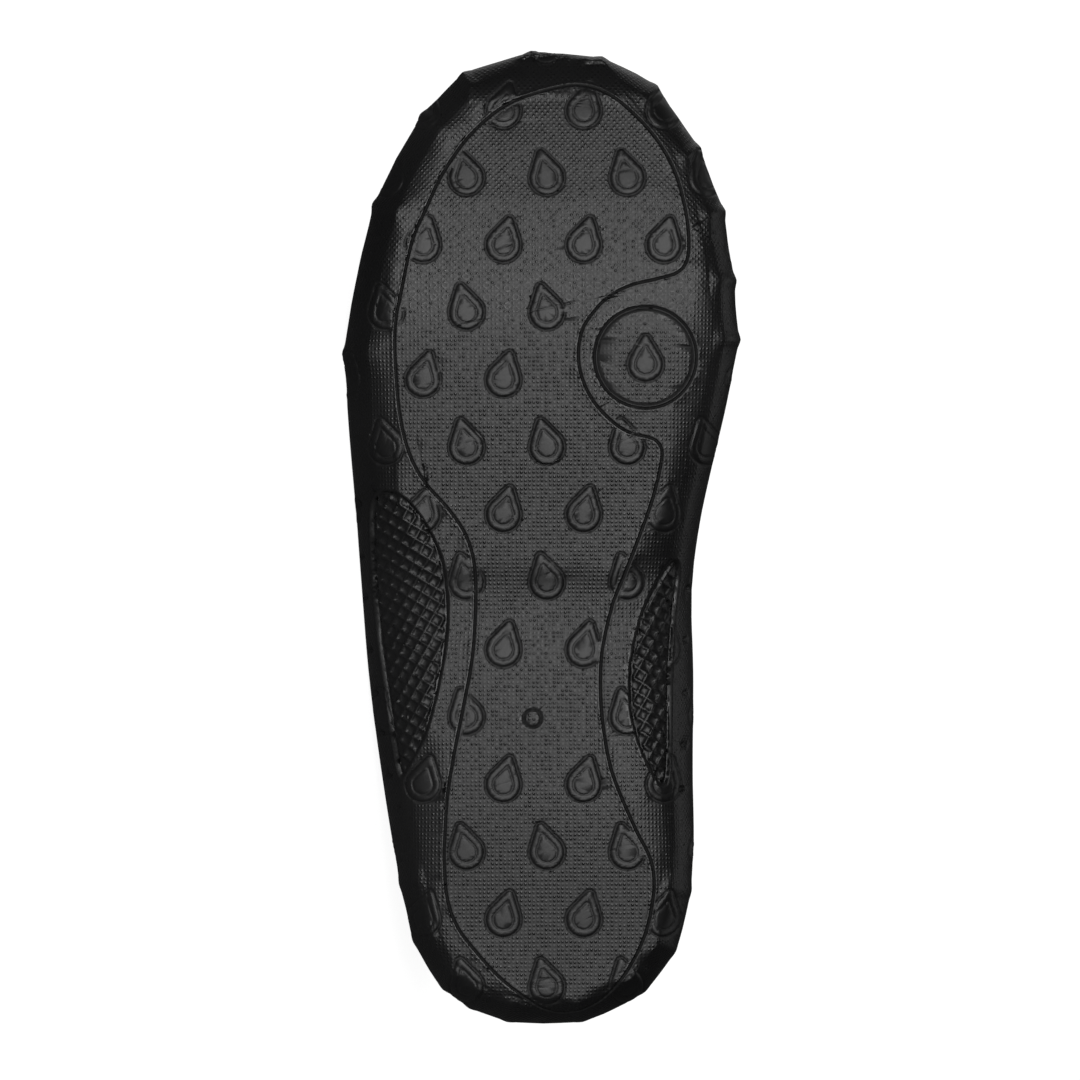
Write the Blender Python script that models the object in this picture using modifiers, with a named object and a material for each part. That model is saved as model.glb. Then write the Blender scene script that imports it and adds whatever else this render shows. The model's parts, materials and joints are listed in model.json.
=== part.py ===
"""A slip-on water shoe for the right foot, lying on its outer side.

It is modelled standing: +X to the toe, +Y to the inner (medial) side, +Z up from the tread, with the
back of the heel at X 0. At the end one empty turns the whole shoe onto its outer side, where it rests
on the edge of its sole and on the side of its upper. Lengths are in metres.

A place round the shoe is one number: 0 at the back of the heel, -1 at the tip of the toe by way of the
outer side, and 1 at the tip of the toe by way of the inner side. The tables give it without its sign.
"""

import math

import bmesh
import bpy
import numpy as np
from mathutils import Matrix, Vector
from mathutils.bvhtree import BVHTree

# Driving sizes of the outsole
SOLE_LENGTH = 0.2485
BALL_WIDTH = 0.1000
HEEL_WIDTH = 0.0740
SOLE_THICKNESS = 0.0042
SIDE_WALL = 0.0021
TOE_SPRING = 0.0085
ARCH_RISE = 0.0022
HEEL_RISE = 0.0010
SIDE_LEAN = 0.0018
EDGE_INSET = 0.0200
EDGE_HEIGHT = 0.0140
RIM_HEIGHT = 0.0220
RIB_HEIGHT = 0.0009
RIB_WIDTH = 0.0120
WINDOW_DEPTH = 0.0009
WINDOW_STEP = 0.0006

# Driving sizes of the upper, the binding and the insole
UPPER_WALL = 0.0026
TOE_HEIGHT = 0.0430
INSTEP_HEIGHT = 0.0800
COLLAR_SIDE_HEIGHT = 0.0620
COLLAR_BACK_HEIGHT = 0.0760
COLLAR_WIDTH = 0.0600
FEATHER_INSET = 0.0052
BINDING_DEPTH = 0.0070
BINDING_THICKNESS = 0.0009
BINDING_CLEARANCE = 0.0006
INSOLE_THICKNESS = 0.0030
INSOLE_CLEARANCE = 0.0012
GAP = 0.0003

# Where the tread leaves the level, as shares of the length, and how sharply it curls up to the toe
SPRING_START = 0.76
ARCH_MIDDLE = 0.43
ARCH_REACH = 0.11
HEEL_REACH = 0.05
SPRING_CURL = 1.7

# A rib's height down its section, as shares of RIB_HEIGHT: low, middle and top of the edge, then the wall
RIB_EDGE = (0.4, 0.8, 0.9)
RIB_WALL = (1.0, 0.9, 0.3)
WALL_ROWS = (0.0, 0.45, 0.85)

# Limits on the window where the flank is narrow, and the tape's rounded fold, as shares
WINDOW_REACH = 0.97
WINDOW_TOP = 0.6
FOLD_WIDTH = 0.8
FOLD_HEIGHT = 0.5

# Middle of the outer side that the shoe lies on, as shares of the length and of RIM_HEIGHT
REST_ALONG = 0.47
REST_HEIGHT = 0.60

# How finely the pieces are lofted
SOLE_COLUMNS = 54
COLLAR_COLUMNS = 26
VAMP_COLUMNS = 18
CROWDING = 1.2
FREE_ROWS = 9
ACROSS = 4
OUTLINE_SAMPLES = 720
SMOOTHING_ROUNDS = 10
PLACE_STEP = 0.002
SHARP_ANGLE = 40.0
MERGE = 1e-7

# The outline under the ribs. along is a share of the length, and outer and inner are shares of half the
# width, which goes over from HEEL_WIDTH to BALL_WIDTH between WIDTH_CHANGES.
WIDTH_CHANGES = (0.146, 0.703)
HEEL_TIP_ACROSS = -0.010
TOE_TIP_ACROSS = 0.024
OUTLINE = (
    # along, outer, inner
    (0.015, 0.488, 0.484),
    (0.045, 0.752, 0.757),
    (0.085, 0.900, 0.922),
    (0.146, 1.000, 1.008),
    (0.270, 1.060, 0.948),
    (0.360, 1.076, 0.905),
    (0.456, 1.066, 0.854),
    (0.520, 1.056, 0.872),
    (0.579, 1.052, 0.914),
    (0.641, 1.044, 0.960),
    (0.703, 1.018, 0.982),
    (0.760, 0.972, 0.964),
    (0.847, 0.860, 0.890),
    (0.930, 0.640, 0.694),
    (0.975, 0.430, 0.500),
    (0.993, 0.215, 0.292),
)

# Ribs of the side wall, by their place round the shoe
RIBS = {
    "outer": (0.031, 0.066, 0.094, 0.143, 0.193, 0.653, 0.785, 0.872, 0.923, 0.984),
    "inner": (0.033, 0.093, 0.136, 0.190, 0.668, 0.719, 0.779, 0.837, 0.902, 0.955),
}

# The rounded edge and the side wall. inset is how far in the tread's edge lies, as a share of
# EDGE_INSET. widest and rim are heights above the tread there, as shares of EDGE_HEIGHT and RIM_HEIGHT.
EDGES = {
    # place, inset, widest, rim
    "outer": (
        (0.00, 0.47, 0.62, 1.08),
        (0.19, 0.56, 0.62, 0.92),
        (0.34, 0.98, 0.88, 0.84),
        (0.46, 1.06, 0.95, 0.86),
        (0.58, 0.84, 0.74, 0.82),
        (0.68, 0.66, 0.60, 0.80),
        (0.85, 0.60, 0.60, 0.88),
        (1.00, 0.54, 0.62, 1.02),
    ),
    "inner": (
        (0.00, 0.47, 0.62, 1.08),
        (0.19, 0.52, 0.62, 0.92),
        (0.34, 0.80, 0.90, 0.90),
        (0.46, 0.86, 1.00, 0.96),
        (0.58, 0.66, 0.76, 0.88),
        (0.68, 0.56, 0.60, 0.80),
        (0.85, 0.54, 0.60, 0.88),
        (1.00, 0.54, 0.62, 1.02),
    ),
}

# The sunk window in each arch flank. along is a share of the length, and low and high are how far in
# from the outline its edges lie, as shares of EDGE_INSET.
WINDOWS = {
    # along, low, high
    "outer": (
        (0.254, 0.36, 0.23),
        (0.288, 0.58, 0.22),
        (0.332, 0.83, 0.20),
        (0.373, 0.98, 0.18),
        (0.435, 1.08, 0.17),
        (0.494, 1.01, 0.18),
        (0.517, 0.86, 0.19),
        (0.536, 0.70, 0.24),
        (0.544, 0.58, 0.30),
    ),
    "inner": (
        (0.247, 0.42, 0.32),
        (0.278, 0.64, 0.29),
        (0.318, 0.82, 0.31),
        (0.363, 0.84, 0.31),
        (0.389, 0.76, 0.27),
        (0.422, 0.63, 0.20),
        (0.447, 0.51, 0.18),
        (0.476, 0.34, 0.18),
    ),
}

# Where the sections of the upper end. From the back of the heel to the throat they end on the edge of
# the collar, and from there to the toe on the ridge of the vamp. along is a share of the length, across
# of half the collar's width, and height of the size that of names. leave and arrive are the slopes in
# degrees with which a section leaves the rim and reaches its end, and low and high say how far it keeps
# them, as shares of the way between its ends.
HEIGHTS = {
    "back": COLLAR_BACK_HEIGHT,
    "side": COLLAR_SIDE_HEIGHT,
    "instep": INSTEP_HEIGHT,
    "toe": TOE_HEIGHT,
}
THROAT_PLACE = 0.540
COLLAR = (
    # place, along, across, height, of, leave, arrive, low, high
    (0.000, 0.022, 0.00, 1.000, "back", 84, 97, 0.34, 0.30),
    (0.065, 0.038, 0.50, 0.985, "back", 84, 94, 0.34, 0.30),
    (0.130, 0.090, 0.88, 0.925, "back", 87, 88, 0.34, 0.30),
    (0.210, 0.172, 1.02, 1.055, "side", 91, 82, 0.36, 0.30),
    (0.290, 0.260, 1.00, 1.000, "side", 93, 75, 0.38, 0.32),
    (0.370, 0.345, 0.92, 1.035, "side", 94, 64, 0.42, 0.36),
    (0.440, 0.422, 0.74, 0.890, "instep", 93, 48, 0.46, 0.40),
    (0.495, 0.470, 0.44, 0.965, "instep", 91, 28, 0.50, 0.46),
    (0.540, 0.490, 0.00, 1.000, "instep", 89, 4, 0.54, 0.50),
)
RIDGE = (
    # place, along, across, height, of, leave, arrive, low, high
    (0.540, 0.490, 0.00, 1.000, "instep", 89, 4, 0.54, 0.50),
    (0.600, 0.556, 0.02, 0.895, "instep", 86, 3, 0.54, 0.52),
    (0.670, 0.636, 0.04, 0.780, "instep", 83, 2, 0.54, 0.52),
    (0.750, 0.716, 0.06, 1.270, "toe", 81, 2, 0.52, 0.52),
    (0.830, 0.786, 0.07, 1.140, "toe", 79, 1, 0.50, 0.52),
    (0.915, 0.846, 0.07, 1.050, "toe", 78, 0, 0.50, 0.52),
    (1.000, 0.886, 0.07, 1.000, "toe", 78, 0, 0.50, 0.54),
)

# Colours as linear values, with roughness
MATERIALS = {
    "outsole": ((0.020, 0.020, 0.021, 1.0), 0.55),
    "upper": ((0.030, 0.031, 0.034, 1.0), 0.90),
    "insole": ((0.110, 0.112, 0.118, 1.0), 0.92),
    "collar_binding": ((0.012, 0.012, 0.013, 1.0), 0.85),
}


def clear_scene():
    """Start from an empty scene."""
    for item in list(bpy.data.objects):
        bpy.data.objects.remove(item, do_unlink=True)


def new_collection(name):
    """Make a collection in the scene."""
    collection = bpy.data.collections.new(name)
    bpy.context.scene.collection.children.link(collection)
    return collection


def make_material(name):
    """Make the Principled material of one piece."""
    colour, roughness = MATERIALS[name]
    material = bpy.data.materials.new(name)
    material.use_nodes = True
    shader = material.node_tree.nodes["Principled BSDF"]
    shader.inputs["Base Color"].default_value = colour
    shader.inputs["Roughness"].default_value = roughness
    shader.inputs["Metallic"].default_value = 0.0
    return material


def smooth_value(places, values, place):
    """Value at a place on a smooth curve through the rows of a table."""
    slopes = np.gradient(values, places, axis=0)
    row = int(np.clip(np.searchsorted(places, place) - 1, 0, len(places) - 2))
    span = places[row + 1] - places[row]
    t = (place - places[row]) / span
    start = (1 + 2 * t) * (1 - t) ** 2 * values[row] + t * (1 - t) ** 2 * span * slopes[row]
    end = t * t * (3 - 2 * t) * values[row + 1] + t * t * (t - 1) * span * slopes[row + 1]
    return start + end


def close_table(places, values, period):
    """Repeat three rows of a closed table past both of its ends, so that it is smooth there."""
    places = np.asarray(places, float)
    values = np.asarray(values, float)
    around = np.concatenate([places[-3:] - period, places, places[:3] + period])
    return around, np.concatenate([values[-3:], values, values[:3]])


def both_sides(outer_rows, inner_rows, end):
    """Join the tables of both sides into one closed table over the signed place."""
    outer = [(-row[0],) + tuple(row[1:]) for row in reversed(outer_rows[1:])]
    rows = np.array(outer + [tuple(row) for row in inner_rows[:-1]], float)
    return close_table(rows[:, 0], rows[:, 1:], 2 * end)


def trace_outline():
    """Fine outline from the toe along the outer side to the heel, and along the inner side to the toe."""
    half = [np.interp(row[0], WIDTH_CHANGES, (HEEL_WIDTH / 2, BALL_WIDTH / 2)) for row in OUTLINE]
    outer = [(row[0] * SOLE_LENGTH, -row[1] * width) for row, width in zip(OUTLINE, half)]
    inner = [(row[0] * SOLE_LENGTH, row[2] * width) for row, width in zip(OUTLINE, half)]
    heel = (0.0, HEEL_TIP_ACROSS * HEEL_WIDTH / 2)
    toe = (SOLE_LENGTH, TOE_TIP_ACROSS * BALL_WIDTH / 2)
    points = np.array([toe] + outer[::-1] + [heel] + inner)
    steps = np.linalg.norm(np.roll(points, -1, axis=0) - points, axis=1)
    lengths = np.concatenate([[0.0], np.cumsum(steps)])
    table = close_table(lengths[:-1], points, lengths[-1])
    heel_length = lengths[len(outer) + 1]
    first = np.linspace(0.0, heel_length, OUTLINE_SAMPLES + 1)
    second = np.linspace(heel_length, lengths[-1], OUTLINE_SAMPLES + 1)
    line = np.array([smooth_value(*table, length) for length in np.concatenate([first, second[1:]])])
    arcs = np.concatenate([[0.0], np.cumsum(np.linalg.norm(np.diff(line, axis=0), axis=1))])
    middle = arcs[OUTLINE_SAMPLES]
    places = np.where(arcs <= middle, arcs / middle - 1.0, (arcs - middle) / (arcs[-1] - middle))
    return places, line, middle, arcs[-1] - middle


PLACES, LINE, OUTER_LENGTH, INNER_LENGTH = trace_outline()
EDGE_TABLE = both_sides(EDGES["outer"], EDGES["inner"], 1.0)


def outline_point(place):
    """Point of the outline at a place, which may run on past the tip of the toe."""
    place = (place + 1.0) % 2.0 - 1.0
    return np.array([np.interp(place, PLACES, LINE[:, 0]), np.interp(place, PLACES, LINE[:, 1])])


def place_of(side, along):
    """Place on one side at which the outline is a share of the length from the heel."""
    reach = along * SOLE_LENGTH
    if side == "outer":
        return float(np.interp(reach, LINE[OUTLINE_SAMPLES::-1, 0], PLACES[OUTLINE_SAMPLES::-1]))
    return float(np.interp(reach, LINE[OUTLINE_SAMPLES:, 0], PLACES[OUTLINE_SAMPLES:]))


def tread_height(x):
    """Height of the tread: level under the heel and the ball, raised at the arch and towards the toe."""
    along = x / SOLE_LENGTH
    toe = max(0.0, (along - SPRING_START) / (1.0 - SPRING_START))
    arch = min(1.0, abs(along - ARCH_MIDDLE) / ARCH_REACH)
    heel = max(0.0, 1.0 - along / HEEL_REACH)
    rise = ARCH_RISE * (1.0 + math.cos(math.pi * arch)) / 2
    return rise + TOE_SPRING * toe ** SPRING_CURL + HEEL_RISE * heel ** 2


class Column:
    """One upright section through the side of the shoe, square to its outline."""

    def __init__(self, place):
        ahead = outline_point(place + PLACE_STEP)
        behind = outline_point(place - PLACE_STEP)
        tangent = (ahead - behind) / np.linalg.norm(ahead - behind)
        self.place = place
        self.foot = outline_point(place)
        self.inward = np.array([tangent[1], -tangent[0]])
        inset, widest, rim = smooth_value(*EDGE_TABLE, place)
        self.inset = inset * EDGE_INSET
        self.widest = widest * EDGE_HEIGHT
        self.rim = rim * RIM_HEIGHT
        self.tread = tread_height((self.foot + self.inward * self.inset)[0])
        self.feather = 1.0 - FEATHER_INSET / self.inset
        self.cushion = 1.0 - (FEATHER_INSET + INSOLE_CLEARANCE) / self.inset
        self.along = self.foot[0] / SOLE_LENGTH

    def at(self, inset, height):
        """Point at a distance in from the outline and a height above the tread's edge."""
        x, y = self.foot + self.inward * inset
        return Vector((x, y, self.tread + height))

    def edge(self, turn, depth):
        """Point inside the rounded edge. turn is 0 at the tread and 1 at the widest place."""
        level = math.sqrt(1.0 - turn * turn)
        aside = turn / self.inset
        down = level / self.widest
        scale = depth / math.hypot(aside, down)
        return self.at(self.inset * (1.0 - turn) + aside * scale, self.widest * (1.0 - level) + down * scale)

    def wall(self, share, depth):
        """Point inside the side wall. share is 0 at the widest place and 1 at the rim."""
        return self.at(SIDE_LEAN * share + depth, self.widest + (self.rim - self.widest) * share)

    def slope(self, angle):
        """Direction inwards that climbs at an angle in degrees."""
        level = math.cos(math.radians(angle))
        return Vector((self.inward[0] * level, self.inward[1] * level, math.sin(math.radians(angle))))

    def thickness(self, turn):
        """Thickness of the outsole at a turn of the rounded edge."""
        return SOLE_THICKNESS + (SIDE_WALL - SOLE_THICKNESS) * turn

    def lining(self, turn, depth):
        """Point above the inner surface of the rounded edge."""
        return self.edge(turn, self.thickness(turn) + depth)


def sole_places(side):
    """Places of the columns of one side: three for each rib, the window's ends, and the widest gaps."""
    length = OUTER_LENGTH if side == "outer" else INNER_LENGTH
    half = RIB_WIDTH / 2 / length
    step = WINDOW_STEP / 2 / length
    places = [0.0, 1.0]
    for rib in RIBS[side]:
        places += [rib - half, rib, rib + half]
    for along in (WINDOWS[side][0][0], WINDOWS[side][-1][0]):
        end = abs(place_of(side, along))
        places += [end - step, end + step]
    while len(places) < SOLE_COLUMNS + 1:
        places.sort()
        widest = max(range(len(places) - 1), key=lambda index: places[index + 1] - places[index])
        places.append((places[widest] + places[widest + 1]) / 2)
    return sorted(places)


def rib_share(column):
    """Height of a rib at a column, as a share of RIB_HEIGHT."""
    side, length = ("outer", OUTER_LENGTH) if column.place < 0 else ("inner", INNER_LENGTH)
    nearest = min(abs(abs(column.place) - rib) for rib in RIBS[side])
    return max(0.0, 1.0 - nearest * length / (RIB_WIDTH / 2))


def window_rings(column):
    """Turns of the window's edges at a column, and how deep it is there."""
    rows = np.array(WINDOWS["outer" if column.place < 0 else "inner"])
    low = np.interp(column.along, rows[:, 0], rows[:, 1]) * EDGE_INSET
    high = np.interp(column.along, rows[:, 0], rows[:, 2]) * EDGE_INSET
    low = min(low, WINDOW_REACH * column.inset)
    high = min(high, WINDOW_TOP * low)
    depth = WINDOW_DEPTH if rows[0, 0] < column.along < rows[-1, 0] else 0.0
    return 1.0 - low / column.inset, 1.0 - high / column.inset, depth


def outsole_section(column):
    """Points of the outsole from the tread's edge round the rim to the edge of its floor."""
    low, high, depth = window_rings(column)
    step = WINDOW_STEP / column.inset
    rib = -RIB_HEIGHT * rib_share(column)
    outside = [
        column.edge(0.0, 0.0),
        column.edge(low, 0.0),
        column.edge(low + step, depth),
        column.edge((low + high) / 2, depth + RIB_EDGE[0] * rib),
        column.edge(high - step, depth + RIB_EDGE[1] * rib),
        column.edge(high, RIB_EDGE[2] * rib),
    ]
    outside += [column.wall(row, share * rib) for row, share in zip(WALL_ROWS, RIB_WALL)]
    inside = [
        column.wall(1.0, 0.0),
        column.wall(1.0, SIDE_WALL),
        column.wall(0.5, SIDE_WALL),
        column.wall(0.0, SIDE_WALL),
        column.lining((1.0 + column.feather) / 2, 0.0),
        column.lining(column.feather, 0.0),
        column.lining(column.cushion, 0.0),
        column.lining(0.0, 0.0),
    ]
    return outside + inside


def loft(mesh, sections):
    """Skin between the sections of all columns, which close round the shoe. Gives their vertices."""
    columns = [[mesh.verts.new(point) for point in section] for section in sections]
    for here, there in zip(columns, columns[1:] + columns[:1]):
        for row in range(len(here) - 1):
            mesh.faces.new((here[row], there[row], there[row + 1], here[row + 1]))
    return columns


def sheet(mesh, ring, height):
    """Close a ring of vertices by rows from one side of the shoe to the other, at a height over it."""
    half = len(ring) // 2
    toe, heel = ring[0], ring[half]
    rows = []
    for outer, inner in zip(ring[half - 1:0:-1], ring[half + 1:]):
        row = [outer]
        for step in range(1, ACROSS):
            x, y, _ = outer.co.lerp(inner.co, step / ACROSS)
            row.append(mesh.verts.new((x, y, tread_height(x) + height)))
        rows.append(row + [inner])
    for tip, row in ((heel, rows[0]), (toe, rows[-1])):
        for first, second in zip(row, row[1:]):
            mesh.faces.new((tip, first, second))
    for here, there in zip(rows, rows[1:]):
        for step in range(ACROSS):
            mesh.faces.new((here[step], there[step], there[step + 1], here[step + 1]))


def round_the_shoe(outer_places, inner_places):
    """Columns from the toe along the outer side to the heel, and along the inner side back to the toe."""
    places = [-place for place in reversed(outer_places)] + list(inner_places[1:-1])
    return [Column(place) for place in places]


def finish_object(name, mesh, collection):
    """Turn a closed mesh into a smooth-shaded object with the material of its name."""
    bmesh.ops.recalc_face_normals(mesh, faces=mesh.faces)
    data = bpy.data.meshes.new(name)
    mesh.to_mesh(data)
    mesh.free()
    data.shade_smooth()
    data.set_sharp_from_angle(angle=math.radians(SHARP_ANGLE))
    data.materials.append(make_material(name))
    item = bpy.data.objects.new(name, data)
    collection.objects.link(item)
    return item


def make_outsole(collection):
    """One rubber moulding: tread, rounded edge with its windows, side wall with its ribs, and floor."""
    mesh = bmesh.new()
    columns = round_the_shoe(sole_places("outer"), sole_places("inner"))
    vertices = loft(mesh, [outsole_section(column) for column in columns])
    sheet(mesh, [section[0] for section in vertices], 0.0)
    sheet(mesh, [section[-1] for section in vertices], SOLE_THICKNESS)
    return finish_object("outsole", mesh, collection)


def make_insole(columns, collection):
    """A loose footbed that lies on the floor, cupped at its edge, inside the edge of the upper."""
    mesh = bmesh.new()
    top = GAP + INSOLE_THICKNESS
    sections = []
    for column in columns:
        section = [column.lining(0.0, GAP), column.lining(column.cushion, GAP)]
        sections.append(section + [column.lining(column.cushion, top), column.lining(0.0, top)])
    vertices = loft(mesh, sections)
    sheet(mesh, [section[0] for section in vertices], SOLE_THICKNESS + GAP)
    sheet(mesh, [section[-1] for section in vertices], SOLE_THICKNESS + top)
    return finish_object("insole", mesh, collection)


def top_rows(rows, side):
    """Rows of the collar or the ridge, with across turned to one side and heights as lengths."""
    turned = []
    for place, along, across, height, of, leave, arrive, low, high in rows:
        size = height * HEIGHTS[of]
        turned.append((place, along, side * across, size, leave, arrive, low, high))
    return turned


COLLAR_TABLE = both_sides(top_rows(COLLAR, -1), top_rows(COLLAR, 1), THROAT_PLACE)
RIDGE_ROWS = np.array(top_rows(RIDGE, 1))


def section_end(place):
    """End of the upper's section at a place, with its slopes and how far it keeps them."""
    if abs(place) < THROAT_PLACE:
        return smooth_value(*COLLAR_TABLE, place)
    return smooth_value(RIDGE_ROWS[:, 0], RIDGE_ROWS[:, 1:], abs(place))


def bezier(start, first, second, end, t):
    """Point of a curve that leaves its start towards first and reaches its end from second."""
    low = start.lerp(first, t)
    middle = first.lerp(second, t)
    high = second.lerp(end, t)
    return low.lerp(middle, t).lerp(middle.lerp(high, t), t)


def upper_section(column):
    """Outer face of the upper: up the inside of the outsole to its rim, and on to the section's end."""
    middle = (1.0 + column.feather) / 2
    points = [column.lining(column.feather, GAP), column.lining(middle, GAP)]
    points += [column.wall(share, SIDE_WALL + GAP) for share in (0.0, 0.5, 1.0)]
    along, across, height, leave, arrive, low, high = [float(value) for value in section_end(column.place)]
    start = points[-1]
    end = Vector((along * SOLE_LENGTH, across * COLLAR_WIDTH / 2, height))
    reach = (end - start).length
    first = start + column.slope(leave) * low * reach
    second = end - column.slope(arrive) * high * reach
    for row in range(1, FREE_ROWS + 1):
        rest = (1.0 - row / FREE_ROWS) ** CROWDING
        points.append(bezier(start, first, second, end, 1.0 - rest))
    return points


def make_upper_face(columns):
    """Outer face of the upper as an open mesh, and its vertices on the edge of the collar."""
    mesh = bmesh.new()
    ridge = {}
    grid = []
    for column in columns:
        section = upper_section(column)
        vertices = [mesh.verts.new(point) for point in section[:-1]]
        key = round(abs(column.place), 6)
        if key < THROAT_PLACE:
            vertices.append(mesh.verts.new(section[-1]))
        else:
            if key not in ridge:
                ridge[key] = mesh.verts.new(section[-1])
            vertices.append(ridge[key])
        grid.append(vertices)
    for here, there in zip(grid, grid[1:] + grid[:1]):
        for row in range(len(here) - 1):
            mesh.faces.new((here[row], here[row + 1], there[row + 1], there[row]))
    collar = []
    for column, vertices in zip(columns, grid):
        if abs(column.place) <= THROAT_PLACE and vertices[-1] not in collar:
            collar.append(vertices[-1])
    held = {vertex for vertices in grid for vertex in vertices[:len(vertices) - FREE_ROWS]}
    free = [vertex for vertex in mesh.verts if vertex not in held and vertex not in collar]
    for _ in range(SMOOTHING_ROUNDS):
        bmesh.ops.smooth_vert(mesh, verts=free, factor=0.5, use_axis_x=True, use_axis_y=True, use_axis_z=True)
    mesh.normal_update()
    return mesh, collar


def make_upper(mesh, collection):
    """The sock: its outer face, given the thickness of the wall inwards."""
    shell = mesh.copy()
    data = bpy.data.meshes.new("upper")
    shell.to_mesh(data)
    shell.free()
    data.shade_smooth()
    data.materials.append(make_material("upper"))
    upper = bpy.data.objects.new("upper", data)
    collection.objects.link(upper)
    wall = upper.modifiers.new("wall", "SOLIDIFY")
    wall.thickness = UPPER_WALL
    wall.offset = -1.0
    wall.use_even_offset = True
    upper.modifiers.new("triangles", "TRIANGULATE")
    return upper


def make_binding(upper, collar, collection):
    """A tape folded over the edge of the collar, down both faces of the upper."""
    wall = BVHTree.FromObject(upper, bpy.context.evaluated_depsgraph_get())
    near = BINDING_CLEARANCE
    far = BINDING_CLEARANCE + BINDING_THICKNESS
    sections = []
    for before, vertex, after in zip(collar[-1:] + collar, collar, collar[1:] + collar[:1]):
        out = vertex.normal
        down = out.cross(after.co - before.co).normalized()
        edges = (vertex.co, vertex.co - out * UPPER_WALL)
        faces = {"outer": [], "inner": []}
        for edge, side, name in ((edges[0], out, "outer"), (edges[1], -out, "inner")):
            for depth in (BINDING_DEPTH, BINDING_DEPTH / 2):
                point, normal, _, _ = wall.find_nearest(edge + down * depth + side * far)
                faces[name].append((point, (normal + side).normalized()))
        outer, inner = faces["outer"], faces["inner"]
        section = [point + normal * far for point, normal in outer]
        section.append(edges[0] + out * FOLD_WIDTH * far - down * FOLD_HEIGHT * far)
        section.append((edges[0] + edges[1]) / 2 - down * far)
        section.append(edges[1] - out * FOLD_WIDTH * far - down * FOLD_HEIGHT * far)
        section += [point + normal * far for point, normal in reversed(inner)]
        section += [point + normal * near for point, normal in inner]
        section.append(edges[1] - out * near - down * near)
        section.append(edges[0] + out * near - down * near)
        section += [point + normal * near for point, normal in reversed(outer)]
        sections.append(section + section[:1])
    tape = bmesh.new()
    loft(tape, sections)
    bmesh.ops.remove_doubles(tape, verts=tape.verts, dist=MERGE)
    return finish_object("collar_binding", tape, collection)


def lay_down(pieces, collection):
    """Turn the shoe onto its outer side: the hull's face there is what it rests on."""
    graph = bpy.context.evaluated_depsgraph_get()
    points = []
    for piece in pieces:
        data = piece.evaluated_get(graph).to_mesh()
        points += [vertex.co.copy() for vertex in data.vertices]
    hull = bmesh.new()
    for point in points:
        hull.verts.new(point)
    bmesh.ops.convex_hull(hull, input=hull.verts)
    hull.normal_update()
    middle = Vector((REST_ALONG * SOLE_LENGTH, 0.0, SOLE_THICKNESS + REST_HEIGHT * RIM_HEIGHT))
    under = [face for face in hull.faces if bmesh.geometry.intersect_face_point(face, middle)]
    rest = min(under, key=lambda face: face.normal.y)
    up = -rest.normal.normalized()
    hull.free()
    right = Vector((-1.0, 0.0, 0.0))
    right = (right - up * right.dot(up)).normalized()
    turn = Matrix((right, up.cross(right), up))
    laid = np.array([turn @ point for point in points])
    low, high = laid.min(axis=0), laid.max(axis=0)
    stand = bpy.data.objects.new("on_its_side", None)
    stand.matrix_world = turn.to_4x4()
    stand.location = (-(low[0] + high[0]) / 2, -(low[1] + high[1]) / 2, -low[2])
    collection.objects.link(stand)
    for piece in pieces:
        piece.parent = stand


def main():
    """Build the four pieces of the shoe and lay it on its side."""
    clear_scene()
    collection = new_collection("water_shoe")
    from_throat = np.linspace(1.0, 0.0, COLLAR_COLUMNS + 1) ** CROWDING
    past_throat = np.linspace(0.0, 1.0, VAMP_COLUMNS + 1) ** CROWDING
    collar_places = THROAT_PLACE * (1.0 - from_throat)
    vamp_places = THROAT_PLACE + (1.0 - THROAT_PLACE) * past_throat
    places = np.concatenate([collar_places, vamp_places[1:]])
    columns = round_the_shoe(places, places)
    face, collar = make_upper_face(columns)
    upper = make_upper(face, collection)
    bpy.context.view_layer.update()
    binding = make_binding(upper, collar, collection)
    face.free()
    pieces = [make_outsole(collection), upper, make_insole(columns, collection), binding]
    bpy.context.view_layer.update()
    lay_down(pieces, collection)


main()
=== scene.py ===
import json
import math

import bmesh
import bpy
import numpy as np
from mathutils import Matrix, Vector
from mathutils.bvhtree import BVHTree


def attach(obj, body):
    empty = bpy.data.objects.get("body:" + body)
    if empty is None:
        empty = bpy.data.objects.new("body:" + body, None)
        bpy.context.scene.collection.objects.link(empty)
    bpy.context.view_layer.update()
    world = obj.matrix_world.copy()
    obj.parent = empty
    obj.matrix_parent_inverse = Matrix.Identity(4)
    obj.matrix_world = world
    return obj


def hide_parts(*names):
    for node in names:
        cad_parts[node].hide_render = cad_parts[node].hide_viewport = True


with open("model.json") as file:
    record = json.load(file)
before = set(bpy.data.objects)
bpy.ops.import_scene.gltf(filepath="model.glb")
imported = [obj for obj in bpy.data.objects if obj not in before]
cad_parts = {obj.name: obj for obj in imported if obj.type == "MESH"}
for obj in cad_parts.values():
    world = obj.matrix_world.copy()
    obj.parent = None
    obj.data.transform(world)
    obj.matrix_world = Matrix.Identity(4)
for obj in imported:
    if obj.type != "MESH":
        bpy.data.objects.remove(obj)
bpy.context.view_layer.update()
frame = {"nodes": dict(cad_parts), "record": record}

# The shoe's own place
# The shoe lies on its outer side. Its pieces are worked on standing, as on the last: +X to the toe,
# +Y to the inner side, +Z up from the tread, with the back of the heel at X 0. Tables are in millimetres.
MM = 0.001
HEEL_MOUNT_ALONG = 44 * MM
heel_tread = next(mount for mount in frame["record"]["mounts"] if mount["name"] == "heel_tread")
shoe_up = -Vector(heel_tread["axis"]).normalized()
shoe_toe = Vector((0, 1, 0)).cross(shoe_up).normalized()
shoe_inner = shoe_up.cross(shoe_toe)
shoe_heel = Vector(heel_tread["pos_m"]) - shoe_toe * HEEL_MOUNT_ALONG
LYING = Matrix.Translation(shoe_heel) @ Matrix((shoe_toe, shoe_inner, shoe_up)).transposed().to_4x4()


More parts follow.
